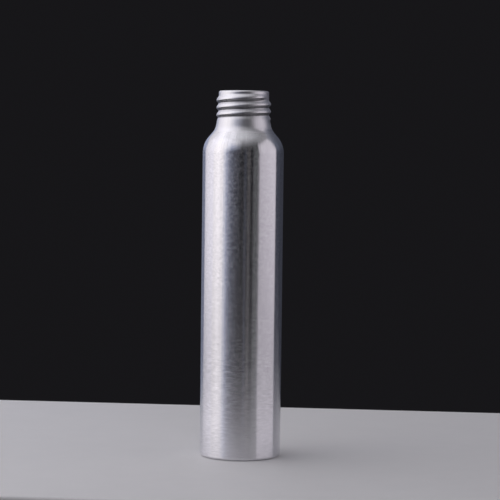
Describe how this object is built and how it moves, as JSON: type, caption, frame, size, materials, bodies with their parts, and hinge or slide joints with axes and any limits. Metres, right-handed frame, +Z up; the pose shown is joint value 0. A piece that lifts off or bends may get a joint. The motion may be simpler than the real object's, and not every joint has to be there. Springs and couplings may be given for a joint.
{
  "type": "aluminium bottle",
  "caption": "Slim one-piece aluminium bottle with a brushed cylindrical body, rounded shoulder, rolled screw neck, inward-curled open mouth and recessed base; no closure.",
  "frame": {"origin": "centre of the standing ring, on the plane the bottle stands on", "axes": "+Z up along the bottle's axis from the foot to the mouth; -Y towards the camera of the source picture, +X to its right"},
  "size_m": [0.035, 0.035, 0.158],
  "materials": {
    "brushed_aluminium": "bare aluminium, finely brushed around the axis, satin",
    "inner_lacquer": "thin transparent pale gold baked lacquer over metal, glossy"
  },
  "bodies": {
    "root": {"bottle_shell": "brushed_aluminium", "inner_lacquer_film": "inner_lacquer"}
  },
  "joints": []
}
